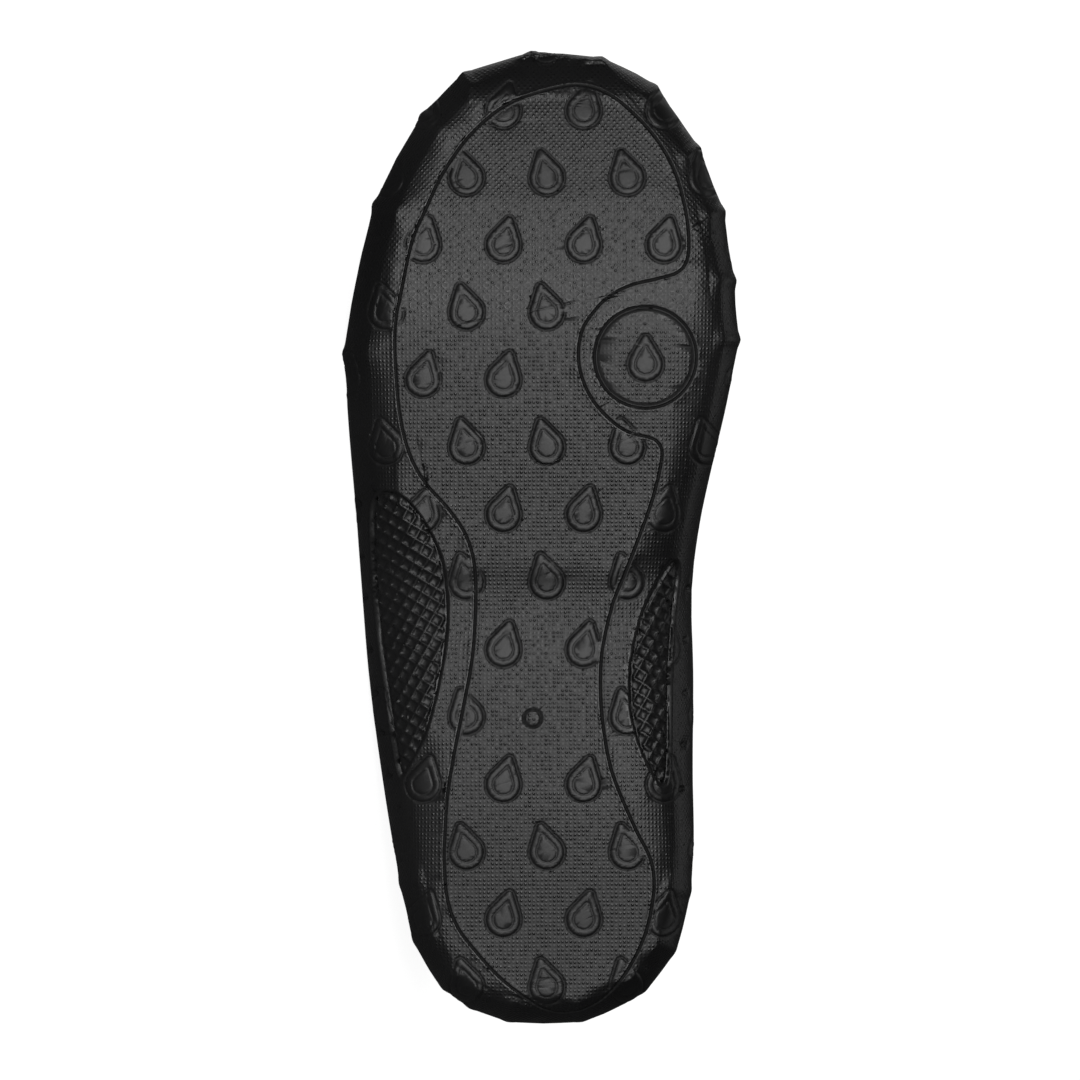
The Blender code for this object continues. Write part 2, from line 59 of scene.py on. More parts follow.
# Outsole
# One black rubber moulding. The tool leaves a fine woven relief all over, an hourglass line round the
# tread, a ring under the big toe, a sunk net in each arch flank, small drop-shaped pads and a gate mark.
SOLE_LENGTH = 248.5
CELL = 0.15
MAP_LOW = (-4.0, -56.0)
MAP_HIGH = (256.0, 56.0)

PANEL_LINE = (
    (239.8, 4.9), (237.4, -3.9), (233.8, -11.6), (226.7, -19.5), (217.1, -26.2), (208.4, -30.3),
    (199.9, -33.9), (185.6, -37.0), (179.7, -38.1), (170.9, -38.3), (156.5, -37.2), (146.0, -34.7),
    (138.6, -30.8), (131.9, -24.9), (125.5, -20.5), (118.3, -18.2), (108.8, -17.7), (94.4, -18.5),
    (81.3, -20.8), (69.7, -23.1), (58.4, -24.9), (47.4, -25.6), (41.0, -25.7), (32.2, -24.9),
    (25.0, -22.3), (18.6, -17.5), (12.2, -11.6), (6.8, -4.8), (4.0, 0.0), (3.0, 5.7),
    (4.4, 11.3), (9.1, 17.2), (15.8, 22.1), (23.8, 25.7), (32.2, 27.5), (38.1, 27.7),
    (43.3, 26.5), (51.0, 22.6), (64.1, 17.2), (75.6, 14.9), (85.7, 14.1), (95.7, 14.6),
    (107.2, 17.2), (114.4, 20.1), (127.8, 25.2), (136.2, 28.0), (145.0, 29.8), (148.3, 29.0),
    (149.8, 26.7), (151.1, 21.6), (154.0, 17.0), (159.4, 12.1), (165.8, 9.2), (171.7, 8.5),
    (177.3, 9.5), (181.5, 12.1), (185.6, 16.0), (188.6, 21.6), (190.4, 28.8), (192.0, 33.8),
    (195.2, 36.2), (201.2, 36.6), (210.0, 35.4), (218.7, 32.7), (226.7, 28.0), (233.8, 21.4),
    (238.2, 15.3), (239.9, 10.0),
)
OUTER_WINDOW = (
    (131.9, -44.4), (135.0, -43.1), (136.2, -41.1), (135.7, -38.0), (133.4, -34.7), (128.8, -31.1),
    (123.1, -27.9), (117.2, -25.8), (109.3, -24.8), (101.1, -24.9), (92.8, -25.9), (84.9, -27.5),
    (76.7, -29.6), (71.8, -31.6), (66.4, -34.7), (63.3, -37.0), (71.3, -38.8), (82.1, -40.3),
    (92.8, -41.9), (103.9, -43.2), (114.7, -44.1), (125.5, -44.6),
)
INNER_WINDOW = (
    (118.5, 32.9), (117.6, 34.2), (114.7, 34.4), (107.0, 33.5), (100.3, 32.8), (90.3, 32.2),
    (79.2, 32.0), (67.9, 31.8), (62.5, 31.3), (61.0, 30.0), (63.1, 28.0), (69.2, 24.9),
    (75.9, 22.6), (82.6, 21.6), (90.3, 21.6), (97.0, 22.6), (105.2, 24.9), (111.3, 27.7),
    (116.2, 30.6),
)
DRAIN_HOLES = (
    (133.2, -47.6), (119.3, -46.8), (108.8, -46.0), (95.4, -44.7), (84.4, -43.2), (74.4, -41.7),
    (63.3, -39.9), (55.3, -37.6), (111.3, 36.8), (98.2, 36.0), (84.6, 36.0), (71.3, 35.6),
    (60.2, 35.0),
)
RIBS = (
    (0.9, -9.5), (4.4, -19.2), (9.2, -25.9), (21.5, -33.4), (35.9, -36.9), (171.3, -51.1),
    (209.5, -43.4), (232.1, -31.2), (242.8, -20.7), (248.2, -3.5), (0.9, 9.4), (8.5, 25.3),
    (18.6, 33.0), (34.1, 37.0), (174.9, 49.1), (190.1, 48.1), (207.7, 45.3), (223.7, 39.1),
    (239.6, 28.2), (246.8, 14.4),
)
POINTER = ((203.4, 37.4), (204.8, 39.6), (206.4, 42.4), (203.4, 42.7), (200.4, 42.4), (202.0, 39.6))
DISC = (170.3, 25.6)
GATE = (78.2, -3.2)

along = np.arange(MAP_LOW[0], MAP_HIGH[0], CELL)
across = np.arange(MAP_LOW[1], MAP_HIGH[1], CELL)
ALONG, ACROSS = np.meshgrid(along, across, indexing="ij")


def smooth_loop(points, step=0.1):
    """A closed line of close points that runs smoothly through a table of points."""
    points = np.array(points, float)
    before, after, next_after = (np.roll(points, shift, axis=0) for shift in (1, -1, -2))
    line = []
    for p0, p1, p2, p3 in zip(before, points, after, next_after):
        for t in np.arange(0.0, 1.0, step / max(np.linalg.norm(p2 - p1), step)):
            line.append(0.5 * (2 * p1 + (p2 - p0) * t + (2 * p0 - 5 * p1 + 4 * p2 - p3) * t ** 2
                               + (3 * p1 - p0 - 3 * p2 + p3) * t ** 3))
    return np.array(line)


def patch(point, reach):
    """The cells of the map within reach of a point, as slices."""
    half = reach / CELL
    slices = []
    for value, start, size in zip(point, MAP_LOW, ALONG.shape):
        cell = (value - start) / CELL
        slices.append(slice(max(0, int(cell - half)), min(size, int(cell + half) + 2)))
    return tuple(slices)


def distance_to(line, reach=3.0):
    """Distance of every cell of the map from a line of points, up to reach."""
    far = np.full(ALONG.shape, reach)
    for point in line:
        near = patch(point, reach)
        gap = np.hypot(ALONG[near] - point[0], ACROSS[near] - point[1])
        far[near] = np.minimum(far[near], gap)
    return far


def inside(loop):
    """True in the cells of the map that a closed line goes round."""
    within = np.zeros(ALONG.shape, bool)
    for (x0, y0), (x1, y1) in zip(loop, np.roll(loop, -1, axis=0)):
        rows = slice(*sorted(int(np.ceil((x - MAP_LOW[0]) / CELL)) for x in (x0, x1)))
        if x0 != x1 and rows.start < rows.stop:
            crossing = y0 + (ALONG[rows] - x0) * (y1 - y0) / (x1 - x0)
            within[rows] ^= ACROSS[rows] < crossing
    return within


def soft(value, start, end):
    """0 before start and 1 after end, with an even turn between them."""
    t = np.clip((value - start) / (end - start), 0.0, 1.0)
    return t * t * (3 - 2 * t)


def bump(value, width):
    """1 at 0, falling off over a width."""
    return np.exp(-(value / width) ** 2)


# The lines: scores are the distances from a line's middle at which the mesh gets an edge along it
GROOVE_DEPTH = 0.42
GROOVE_WIDTH = 0.17
LIP_HEIGHT = 0.10
LIP_AWAY = 0.5
LIP_WIDTH = 0.2
GROOVE_SCORES = (-0.76, -0.5, -0.24, 0.0, 0.24, 0.5, 0.76)
RING_SCORES = GROOVE_SCORES[2:6]
DISC_RINGS = (
    # radius, and share of a groove's depth
    (13.0, 1.0), (12.1, 0.45),
)


def groove(gap):
    """A moulded groove with a low lip along it."""
    return LIP_HEIGHT * bump(gap - LIP_AWAY, LIP_WIDTH) - GROOVE_DEPTH * bump(gap, GROOVE_WIDTH)


def signed_distance(loop):
    """Distance of every cell of the map from a closed line, less than 0 inside it."""
    return np.where(inside(loop), -1.0, 1.0) * distance_to(loop)


panel_side = signed_distance(smooth_loop(PANEL_LINE))
panel_gap = abs(panel_side)
line_gap = panel_gap
relief = groove(panel_gap)
scores = [(panel_side, GROOVE_SCORES)]
disc_gap = np.hypot(ALONG - DISC[0], ACROSS - DISC[1])
for radius, share in DISC_RINGS:
    ring_side = disc_gap - radius
    relief += share * groove(abs(ring_side))
    line_gap = np.minimum(line_gap, abs(ring_side))
    scores.append((ring_side, RING_SCORES))

# The sunk nets: two sets of crossing threads on a floor, which end a little inside the window's edge
NET_PITCH = 2.75
NET_TURN = math.radians(30)
NET_HEIGHT = 0.50
NET_WIDTH = 0.42
NET_FADE = (0.7, 1.1)
NET_SCORED_FROM = 0.5
NET_SCORES = (-0.45, 0.0, 0.45)
WINDOW_DEPTH = 0.85
WINDOW_EDGE = (-0.15, 0.35)
WINDOW_LIP_AWAY = 0.6
WINDOW_LIP_WIDTH = 0.3
WINDOW_SCORES = (-0.38, 0.16, WINDOW_LIP_AWAY)
NOWHERE = 9.0
windows = np.zeros(ALONG.shape)
for table in (OUTER_WINDOW, INNER_WINDOW):
    signed = signed_distance(smooth_loop(table))
    across_net = (ALONG * math.cos(NET_TURN) + ACROSS * math.sin(NET_TURN)) / NET_PITCH
    along_net = (ACROSS * math.cos(NET_TURN) - ALONG * math.sin(NET_TURN)) / NET_PITCH
    nearest = np.minimum(*(abs(turns - np.round(turns)) for turns in (across_net, along_net)))
    net = NET_HEIGHT * bump(nearest * NET_PITCH, NET_WIDTH) * soft(-signed, *NET_FADE)
    sunk = soft(-signed, *WINDOW_EDGE)
    lip = LIP_HEIGHT * bump(signed - WINDOW_LIP_AWAY, WINDOW_LIP_WIDTH)
    relief += sunk * (net - WINDOW_DEPTH) + lip
    windows = np.maximum(windows, sunk)
    line_gap = np.minimum(line_gap, abs(signed))
    scores.append((signed, WINDOW_SCORES))
    for turns in (across_net, along_net):
        side = np.sin(turns * math.pi) * NET_PITCH / math.pi
        scores.append((np.where(signed < -NET_SCORED_FROM, side, NOWHERE), NET_SCORES))

# The pads: a drop that points to the toe, with a line round it and another inside it
PAD_ROWS = 17.2
PAD_STEP = 20.5
PAD_FIRST = 11.5
PADS_ASIDE = 3
PAD_BASE = 4.3
PAD_TIP = 0.9
PAD_LENGTH = 6.6
PAD_MIDDLE = 1.8
PAD_LEAN = math.radians(14)
PAD_REACH = 14.0
PAD_RISE = 0.16
PAD_EDGE = (-0.1, 0.35)
PAD_TOP = (-0.3, 0.1)
PAD_LINE = 0.25
PAD_LINE_WIDTH = 0.2
PAD_LINE_DEPTH = 0.26
PAD_INNER_LINE = 1.7
PAD_INNER_WIDTH = 0.18
PAD_INNER_SHARE = 0.7
PAD_SCORES = (-1.95, -1.7, -1.45, -0.05, 0.25, 0.55, 0.95)
FREE_OF_LINE = (0.8, 1.6)
FREE_OF_DISC = 20.5
FREE_OF_GATE = 9.0
pads = np.zeros(ALONG.shape)
pad_side = np.full(ALONG.shape, NOWHERE)


def drop_gap(x, y):
    """Distance from the outline of a drop: a round base, and a tip in the direction of x."""
    y = abs(y)
    slope = (PAD_BASE - PAD_TIP) / PAD_LENGTH
    level = math.sqrt(1 - slope * slope)
    share = x * level - y * slope
    base = np.hypot(x, y) - PAD_BASE
    tip = np.hypot(x - PAD_LENGTH, y) - PAD_TIP
    side = y * level + x * slope - PAD_BASE
    return np.where(share < 0, base, np.where(share > PAD_LENGTH * level, tip, side))


def press_pad(centre, lean):
    """Adds one pad to the relief, where it is free of the hourglass line and the windows."""
    near = patch(centre, PAD_REACH)
    x = ALONG[near] - centre[0]
    y = ACROSS[near] - centre[1]
    forward = x * math.cos(lean) + y * math.sin(lean) + PAD_MIDDLE
    aside = y * math.cos(lean) - x * math.sin(lean)
    gap = drop_gap(forward, aside)
    free = soft(panel_gap[near], *FREE_OF_LINE) * (1.0 - windows[near])
    line = bump(gap - PAD_LINE, PAD_LINE_WIDTH)
    line += PAD_INNER_SHARE * bump(gap + PAD_INNER_LINE, PAD_INNER_WIDTH)
    relief[near] += free * (PAD_RISE * soft(-gap, *PAD_EDGE) - PAD_LINE_DEPTH * line)
    pads[near] = np.maximum(pads[near], free * soft(-gap, *PAD_TOP))
    pad_side[near] = np.minimum(pad_side[near], np.where(free > 0.05, gap, NOWHERE))


for row in range(int(SOLE_LENGTH / PAD_ROWS) + 1):
    place = PAD_FIRST + row * PAD_ROWS
    for step in range(-PADS_ASIDE, PADS_ASIDE + 1):
        side = (step + 0.5 * (row % 2)) * PAD_STEP
        to_disc = np.hypot(place - DISC[0], side - DISC[1])
        to_gate = np.hypot(place - GATE[0], side - GATE[1])
        if to_disc > FREE_OF_DISC and to_gate > FREE_OF_GATE:
            press_pad((place, side), PAD_LEAN if row % 2 else -PAD_LEAN)
press_pad(DISC, 0.0)
scores.append((pad_side, PAD_SCORES))

# The gate mark, the drain holes and the mould's small pointer at the ball
GATE_RADIUS = 2.3
GATE_RISE = 0.15
GATE_EDGE = (-3.3, -2.8)
GATE_LINE_WIDTH = 0.3
GATE_LINE_DEPTH = 0.35
GATE_SCORES = (-0.35, 0.0, 0.35)
HOLE_DEPTH = 0.8
HOLE_REACH = 2.5
HOLE_EDGE = (-0.85, -0.45)
POINTER_RISE = 0.4
POINTER_EDGE = (-0.1, 0.4)
POINTER_SCORES = (-0.3, 0.1)
gate_gap = np.hypot(ALONG - GATE[0], ACROSS - GATE[1])
gate_side = gate_gap - GATE_RADIUS
relief += GATE_RISE * soft(-gate_gap, *GATE_EDGE) - GATE_LINE_DEPTH * bump(gate_side, GATE_LINE_WIDTH)
scores.append((gate_side, GATE_SCORES))
line_gap = np.minimum(line_gap, abs(gate_side))
for hole in DRAIN_HOLES:
    near = patch(hole, HOLE_REACH)
    hole_gap = np.hypot(ALONG[near] - hole[0], ACROSS[near] - hole[1])
    relief[near] -= HOLE_DEPTH * soft(-hole_gap, *HOLE_EDGE)
pointer_side = signed_distance(smooth_loop(POINTER))
relief += POINTER_RISE * soft(-pointer_side, *POINTER_EDGE)
scores.append((pointer_side, POINTER_SCORES))

# The edge length wished for: fine where the relief turns within a few cells, coarse where it is plain
FINENESS = 0.78
COARSEST = 3.0
TURN_CELLS = 3
TURN_HEIGHT = 0.09
GRADING = 1.5
low = relief.copy()
high = relief.copy()
for shift in (-TURN_CELLS, TURN_CELLS):
    for axis in (0, 1):
        low = np.minimum(low, np.roll(relief, shift, axis))
        high = np.maximum(high, np.roll(relief, shift, axis))
fineness = np.where(high - low > TURN_HEIGHT, FINENESS, COARSEST)


def read_map(values, x, y):
    """Value of a map at places in millimetres."""
    u = np.clip((x - MAP_LOW[0]) / CELL, 0, ALONG.shape[0] - 1.001)
    v = np.clip((y - MAP_LOW[1]) / CELL, 0, ALONG.shape[1] - 1.001)
    i = u.astype(int)
    j = v.astype(int)
    s = u - i
    t = v - j
    return (values[i, j] * (1 - s) * (1 - t) + values[i + 1, j] * s * (1 - t)
            + values[i, j + 1] * (1 - s) * t + values[i + 1, j + 1] * s * t)


def coarsened(values):
    """A map whose low values spread, so that no cell is much coarser than its neighbours."""
    spread = values
    for reach in (1, 2, 4, 8):
        for axis in (0, 1):
            for shift in (-reach, reach):
                moved = np.roll(spread, shift, axis)
                spread = np.minimum(spread, moved + GRADING * reach * CELL)
    return spread


fineness = coarsened(fineness)
MERGE_WITHIN = 0.00001
TOO_LONG = 1.6


def copy_of(node, name):
    """A copy of a CAD node, standing, with its vertices merged and the import's normals dropped."""
    data = frame["nodes"][node].data.copy()
    data.materials.clear()
    data.transform(LYING.inverted())
    piece = bpy.data.objects.new(name, data)
    bpy.context.scene.collection.objects.link(piece)
    bpy.ops.object.select_all(action="DESELECT")
    bpy.context.view_layer.objects.active = piece
    piece.select_set(True)
    bpy.ops.mesh.customdata_custom_splitnormals_clear()
    bpy.ops.object.mode_set(mode="EDIT")
    bpy.ops.mesh.select_all(action="SELECT")
    bpy.ops.mesh.remove_doubles(threshold=MERGE_WITHIN)
    bpy.ops.mesh.normals_make_consistent(inside=False)
    bpy.ops.object.mode_set(mode="OBJECT")
    return piece


def read(items, name, width):
    """One property of all vertices or edges, as rows."""
    values = np.zeros(len(items) * width)
    items.foreach_get(name, values)
    return values.reshape(-1, width) if width > 1 else values


def refine(piece, length_at, rounds, smoothness):
    """Subdivides, in rounds, the edges much longer than the length wished for at their middle."""
    bpy.context.tool_settings.mesh_select_mode = (False, True, False)
    data = piece.data
    for _ in range(rounds):
        places = read(data.vertices, "co", 3)
        normals = read(data.vertices, "normal", 3)
        ends = read(data.edges, "vertices", 2).astype(int)
        lengths = np.linalg.norm(places[ends[:, 0]] - places[ends[:, 1]], axis=1)
        wished = length_at(places[ends].mean(axis=1), normals[ends].mean(axis=1))
        chosen = lengths > TOO_LONG * wished
        data.vertices.foreach_set("select", np.zeros(len(places), bool))
        data.polygons.foreach_set("select", np.zeros(len(data.polygons), bool))
        data.edges.foreach_set("select", chosen)
        bpy.ops.object.mode_set(mode="EDIT")
        bpy.ops.mesh.subdivide(number_cuts=1, smoothness=smoothness, ngon=False)
        bpy.ops.mesh.select_all(action="SELECT")
        bpy.ops.mesh.quads_convert_to_tris(quad_method="BEAUTY", ngon_method="BEAUTY")
        bpy.ops.object.mode_set(mode="OBJECT")
        if not chosen.any():
            break


CAD_WINDOW_DEPTH = 0.9
FLOOR_TURN = math.radians(28)


def fill_windows(piece):
    """Raises the floors of the CAD's sunk windows to the flank, before they are carved in full."""
    mesh = bmesh.new()
    mesh.from_mesh(piece.data)
    mesh.normal_update()
    tree = BVHTree.FromBMesh(mesh)
    mesh.faces.ensure_lookup_table()
    for table in (OUTER_WINDOW, INNER_WINDOW):
        x, y = np.mean(table, axis=0) * MM
        index = tree.ray_cast(Vector((x, y, -1.0)), Vector((0, 0, 1)))[2]
        floor = [mesh.faces[index]]
        found = set(floor)
        for face in floor:
            for edge in face.edges:
                for other in edge.link_faces:
                    if other not in found and edge.calc_face_angle() < FLOOR_TURN:
                        found.add(other)
                        floor.append(other)
        directions = {vertex: Vector() for face in floor for vertex in face.verts}
        for face in floor:
            for vertex in face.verts:
                directions[vertex] += face.normal * face.calc_area()
        for vertex, direction in directions.items():
            vertex.co += direction.normalized() * (CAD_WINDOW_DEPTH * MM)
    mesh.to_mesh(piece.data)
    mesh.free()


SNAP = 0.09
EVEN_SLOPE = (0.5, 1.2)
SCORE_REACH = 4.0
UNDERSIDE = -0.08


def score(piece):
    """Adds lines of edges to the underside, where the maps of signed distances pass their levels."""
    mesh = bmesh.new()
    mesh.from_mesh(piece.data)
    for side, levels in scores:
        slopes = np.gradient(side, CELL)
        for level in levels:
            mesh.verts.index_update()
            mesh.normal_update()
            places = np.array([vertex.co for vertex in mesh.verts])
            below = np.array([vertex.normal.z for vertex in mesh.verts]) < UNDERSIDE
            x, y = places[:, :2].T / MM
            value = read_map(side, x, y) - level
            close = below & (abs(value) < SNAP)
            mesh.verts.ensure_lookup_table()
            for index in np.flatnonzero(close):
                here = x[index:index + 1], y[index:index + 1]
                slide = [float(read_map(slope, *here)[0]) for slope in slopes]
                if EVEN_SLOPE[0] < math.hypot(*slide) < EVEN_SLOPE[1]:
                    mesh.verts[index].co.x -= slide[0] * value[index] * MM
                    mesh.verts[index].co.y -= slide[1] * value[index] * MM
            value[close] = 0.0
            crossed = {}
            for edge in mesh.edges:
                first, second = (vertex.index for vertex in edge.verts)
                if value[first] * value[second] < 0 and below[first] and below[second]:
                    if max(abs(value[first]), abs(value[second])) < SCORE_REACH:
                        crossed[edge] = value[first] / (value[first] - value[second])
            bmesh.ops.subdivide_edges(mesh, edges=list(crossed), cuts=1, edge_percents=crossed)
            bmesh.ops.triangulate(mesh, faces=[face for face in mesh.faces if len(face.verts) > 3])
    mesh.to_mesh(piece.data)
    mesh.free()


FLAT_ENOUGH = -0.995
TREAD_DEGREE = 8
outsole = copy_of("outsole", "moulded_outsole")
fill_windows(outsole)
places = read(outsole.data.vertices, "co", 3)
flat = places[read(outsole.data.vertices, "normal", 3)[:, 2] < FLAT_ENOUGH]
tread_curve = np.polynomial.Polynomial.fit(flat[:, 0], flat[:, 2], TREAD_DEGREE)


# The ribs round the toe and the heel: sharper than the CAD's, which they take the place of
RIB_FINENESS = 0.8
INSIDE_FINENESS = 6.0
RIB_WIDE = 2.4
RIB_RISE = (0.35, 0.30)  # at the heel, and how much more at the toe
CAD_RIB_WIDE = 6.0
CAD_RIB_RISE = (0.75, -0.15)
RIB_STARTS = (-7.0, -1.5)
RIB_REACH = 12.0
RIB_FACING = 0.1
FOOT_MIDDLE = (45, 200)
TOWARD_TOE = (60, 100)
FAR = 1e9


def rib_places(places, normals):
    """How far each place is beside its nearest rib, and 0 to 1 as it comes near the outline."""
    plan = places[:, :2] / MM
    gaps = np.full(len(places), FAR)
    beside = np.full(len(places), FAR)
    near = np.zeros(len(places))
    for rib in np.array(RIBS):
        out = rib - (np.clip(rib[0], *FOOT_MIDDLE), 0.0)
        out /= np.linalg.norm(out)
        offset = plan - rib
        gap = np.linalg.norm(offset, axis=1)
        closer = gap < gaps
        gaps[closer] = gap[closer]
        beside[closer] = abs(offset @ (-out[1], out[0]))[closer]
        outside = normals[:, :2] @ out > RIB_FACING
        near[closer] = (soft(offset @ out, *RIB_STARTS) * outside)[closer]
    return beside, near * (gaps < RIB_REACH)


def sole_length(places, normals):
    """Wished edge length on the outsole: fine where the relief turns, coarse on its inner side."""
    wished = read_map(fineness, places[:, 0] / MM, places[:, 1] / MM)
    wished = np.where(normals[:, 2] < UNDERSIDE, wished, INSIDE_FINENESS)
    beside, near = rib_places(places, normals)
    at_rib = (beside < RIB_WIDE + 1.0) & (near > 0.0)
    return np.where(at_rib, np.minimum(wished, RIB_FINENESS), wished) * MM


LEVEL_WITHIN = 0.6 * MM
FADE_UP_SIDE = (0.05, 0.2)
refine(outsole, sole_length, 9, 1.0)
score(outsole)
places = read(outsole.data.vertices, "co", 3)
normals = read(outsole.data.vertices, "normal", 3)
over = places[:, 2] - tread_curve(places[:, 0])
level = (normals[:, 2] < -0.5) & (over < LEVEL_WITHIN)
places[level, 2] = (tread_curve(places[:, 0]) + over * soft(over, 0.0, LEVEL_WITHIN))[level]
rise = read_map(relief, places[:, 0] / MM, places[:, 1] / MM) * soft(-normals[:, 2], *FADE_UP_SIDE)
beside, near = rib_places(places, normals)
toward_toe = soft(places[:, 0] / MM, *TOWARD_TOE)
for sign, wide, (at_heel, more_at_toe) in ((1, RIB_WIDE, RIB_RISE), (-1, CAD_RIB_WIDE, CAD_RIB_RISE)):
    rise += sign * near * (at_heel + more_at_toe * toward_toe) * np.maximum(0.0, 1.0 - beside / wide)
places += normals * rise[:, None] * MM
outsole.data.vertices.foreach_set("co", places.ravel())


def keep_on(piece, name, values):
    """Keeps one number for each vertex of a piece, for its material to read."""
    layer = piece.data.attributes.new(name, "FLOAT", "POINT")
    layer.data.foreach_set("value", np.asarray(values, np.float32))


# The "line" mark is painted shade: it darkens the rubber's colour along the grooves, the window and gate
# edges and the pad outlines, and raises their roughness
SHADE_LINE_WIDTH = 0.22
PAD_SHADE_SHARE = 0.4
PLAIN_MARGIN = (-0.74, -0.4)
LIT_SLOPE = (0.0, 0.6)
FLANK = (0.8 * MM, 5.0 * MM)
pad_edge = bump(pad_side - PAD_LINE, PAD_LINE_WIDTH)
pad_edge += 0.5 * bump(pad_side + PAD_INNER_LINE, PAD_LINE_WIDTH)
any_line_gap = np.minimum(line_gap, abs(pad_side - PAD_LINE))
lit = soft(-np.gradient(line_gap, CELL, axis=1), *LIT_SLOPE)
for name, values in (
    ("pad", pads),
    ("window", windows),
    ("line", np.maximum(bump(line_gap, SHADE_LINE_WIDTH), PAD_SHADE_SHARE * pad_edge)),
    ("margin", soft(-any_line_gap, *PLAIN_MARGIN)),
    ("shine", bump(line_gap - LIP_AWAY, LIP_WIDTH) * lit),
):
    keep_on(outsole, name, read_map(values, places[:, 0] / MM, places[:, 1] / MM))
keep_on(outsole, "flank", soft(over, *FLANK))


STRAIGHT_HALF = 0.07
MIDDLE_HALF = 0.010
ROLL_SHARE = 0.8


def lay_out(piece, climb):
    """A UV map: a piece's plan in decimetres, with its sides rolled out as far as they climb."""
    places = read(piece.data.vertices, "co", 3)
    centre = np.array((places[:, 0].mean(), 0.0))
    aside = places[:, :2] - centre
    aside[:, 0] = np.sign(aside[:, 0]) * np.maximum(abs(aside[:, 0]) - STRAIGHT_HALF, 0.0)
    aside /= np.maximum(np.linalg.norm(aside, axis=1), MIDDLE_HALF)[:, None]
    plan = (places[:, :2] + aside * (ROLL_SHARE * climb)[:, None]) * 10
    corners = np.zeros(len(piece.data.loops), int)
    piece.data.loops.foreach_get("vertex_index", corners)
    layer = piece.data.uv_layers.new(name="cut")
    layer.data.foreach_set("uv", plan[corners].ravel())


lay_out(outsole, np.maximum(over, 0.0))


class Tone:
    """One socket of a material. Arithmetic on it adds Math nodes."""

    def __init__(self, finish, socket):
        self.finish = finish
        self.socket = socket

    def math(self, operation, *others):
        sockets = dict(enumerate((self, *others)))
        return self.finish.node("Math", {"operation": operation}, sockets)

    def __add__(self, other):
        return self.math("ADD", other)

    def __sub__(self, other):
        return self.math("SUBTRACT", other)

    def __rsub__(self, other):
        return self * -1.0 + other

    def __mul__(self, other):
        return self.math("MULTIPLY", other)

    def sine(self):
        return self.math("SINE")

    def wave(self):
        """A wave between 0 and 1."""
        return self.sine() * 0.5 + 0.5

    def size(self):
        return self.math("ABSOLUTE")

    def at_least(self, other):
        return self.math("MAXIMUM", other)

    def between(self, low, high):
        """0 at low and 1 at high, smoothly."""
        sockets = {"Value": self, "From Min": low, "From Max": high}
        return self.finish.node("MapRange", {"interpolation_type": "SMOOTHSTEP"}, sockets)

    __radd__ = __add__
    __rmul__ = __mul__


class Finish:
    """A material in the making."""

    def __init__(self, name):
        self.material = bpy.data.materials.new(name)
        self.material.use_nodes = True
        self.tree = self.material.node_tree
        self.shader = self.tree.nodes["Principled BSDF"]

    def join(self, value, socket):
        if isinstance(value, Tone):
            self.tree.links.new(value.socket, socket)
        else:
            socket.default_value = value

    def node(self, kind, settings=None, sockets=None, output=0):
        """Adds a node: its settings first, then the values or links of its sockets."""
        node = self.tree.nodes.new("ShaderNode" + kind)
        for name, value in (settings or {}).items():
            setattr(node, name, value)
        for name, value in (sockets or {}).items():
            self.join(value, node.inputs[name])
        return Tone(self, node.outputs[output])

    def mix(self, share, first, second):
        """A colour between two colours."""
        return self.node("Mix", {"data_type": "RGBA"}, {"Factor": share, 6: first, 7: second}, 2)

    def noise(self, scale, detail):
        """A soft random pattern that stays fixed to the piece."""
        place = self.node("TexCoord", {}, {}, "Object")
        return self.node("TexNoise", {}, {"Scale": scale, "Detail": detail, "Vector": place})

    def kept(self, name):
        """A number that a piece keeps for each vertex."""
        return self.node("Attribute", {"attribute_name": name}, {}, "Fac")

    def cut(self):
        """The two directions of a piece's UV map, in decimetres."""
        where = self.node("UVMap", {"uv_map": "cut"})
        split = self.node("SeparateXYZ", {}, {"Vector": where})
        return split, Tone(self, split.socket.node.outputs[1])

    def bumped(self, height, depth):
        """A normal from a height of 0 to 1 that is depth deep, in millimetres."""
        return self.node("Bump", {}, {"Height": height, "Distance": depth * MM, "Strength": 1.0})

    def shade(self, **sockets):
        """Sets or links the shader's own sockets, with words joined by _ for their names."""
        names = {"specular": "Specular IOR Level", "sheen": "Sheen Weight"}
        for name, value in sockets.items():
            self.join(value, self.shader.inputs[names.get(name, name.replace("_", " ").title())])
        return self.material


# The weave runs straight on the tread, and slantwise on the flanks and toward the toe
RUBBER_DARK = (0.0015, 0.0015, 0.0016, 1)
RUBBER_LIGHT = (0.0055, 0.0055, 0.0057, 1)
WEAVE_PITCH = 1.05
WEAVE_HEIGHT = 0.08
SLANT_AT_TOE = (1.7, 2.0)
rubber = Finish("moulded_rubber")
u, v = rubber.cut()
turn = 2 * math.pi * 100 / WEAVE_PITCH
slant_turn = turn * 0.7
straight = (u * turn).wave() * (v * turn).wave()
slant = ((u + v) * slant_turn).wave() * ((u - v) * slant_turn).wave()
slanted = rubber.kept("flank").at_least(u.between(*SLANT_AT_TOE)) * 0.9
dots = rubber.noise(750.0, 1.0).between(0.3, 0.7)
weave = (straight * (1.0 - slanted) + slant * slanted) * (dots * 0.8 + 0.35)
patchy = rubber.noise(18.0, 3.0)
plain = rubber.kept("pad").at_least(rubber.kept("window"))
line = rubber.kept("line")
fine = rubber.noise(1500.0, 2.0)
height = weave * (1.0 - plain.at_least(rubber.kept("margin"))) + fine * 0.22
